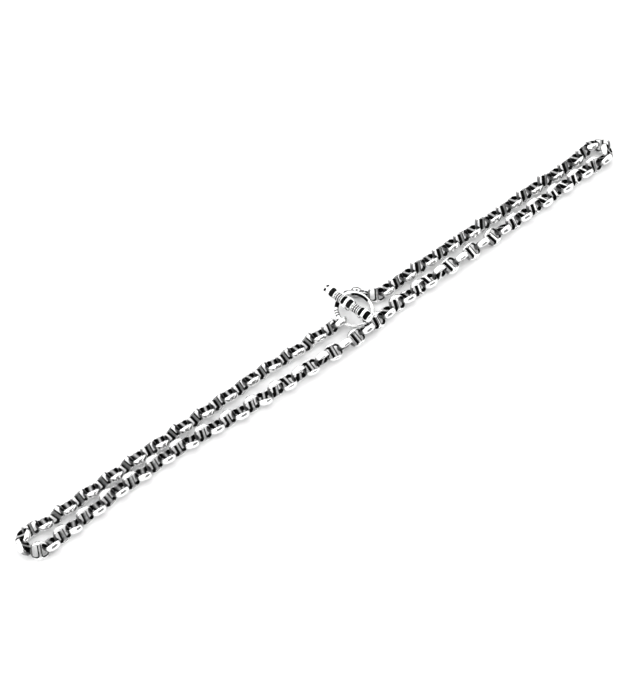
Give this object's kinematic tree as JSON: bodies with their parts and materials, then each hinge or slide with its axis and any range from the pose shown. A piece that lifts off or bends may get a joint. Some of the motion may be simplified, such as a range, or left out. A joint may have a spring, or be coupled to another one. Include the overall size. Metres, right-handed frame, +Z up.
{
  "type": "link chain necklace",
  "caption": "Mariner-link chain necklace in polished metal with blackened recesses, closed by a ring and a caged toggle bar, laid flat as a long narrow loop.",
  "frame": {"origin": "on the surface that the necklace lies on, under the middle of its bounding box", "axes": "+X along the laid loop, from the left bend to the right bend; +Y from the near strand to the far strand, which carries the clasp; +Z up"},
  "size_m": [0.2362, 0.0212, 0.0085],
  "materials": {
    "silver": "polished silver on the raised rims, blackened in the windows and recesses"
  },
  "bodies": {
    "root": {"near_run_1": "silver", "near_run_2": "silver", "near_run_3": "silver", "near_run_4": "silver", "near_run_5": "silver", "near_run_6": "silver", "near_run_7": "silver", "far_left_run_1": "silver", "far_left_run_2": "silver", "far_left_run_3": "silver", "far_right_run_1": "silver", "far_right_run_2": "silver", "far_right_run_3": "silver", "left_bend_link_1": "silver", "left_bend_link_2": "silver", "left_bend_link_3": "silver", "left_bend_link_4": "silver", "right_bend_link_1": "silver", "right_bend_link_2": "silver", "right_bend_link_3": "silver", "right_bend_link_4": "silver", "right_bend_link_5": "silver", "right_bend_link_6": "silver", "ring_end_link": "silver", "bar_end_link": "silver", "tail_link_1": "silver", "tail_link_2": "silver", "tail_link_3": "silver", "tail_link_4": "silver", "tail_link_5": "silver", "toggle_ring": "silver", "toggle_bar": "silver"}
  },
  "joints": []
}
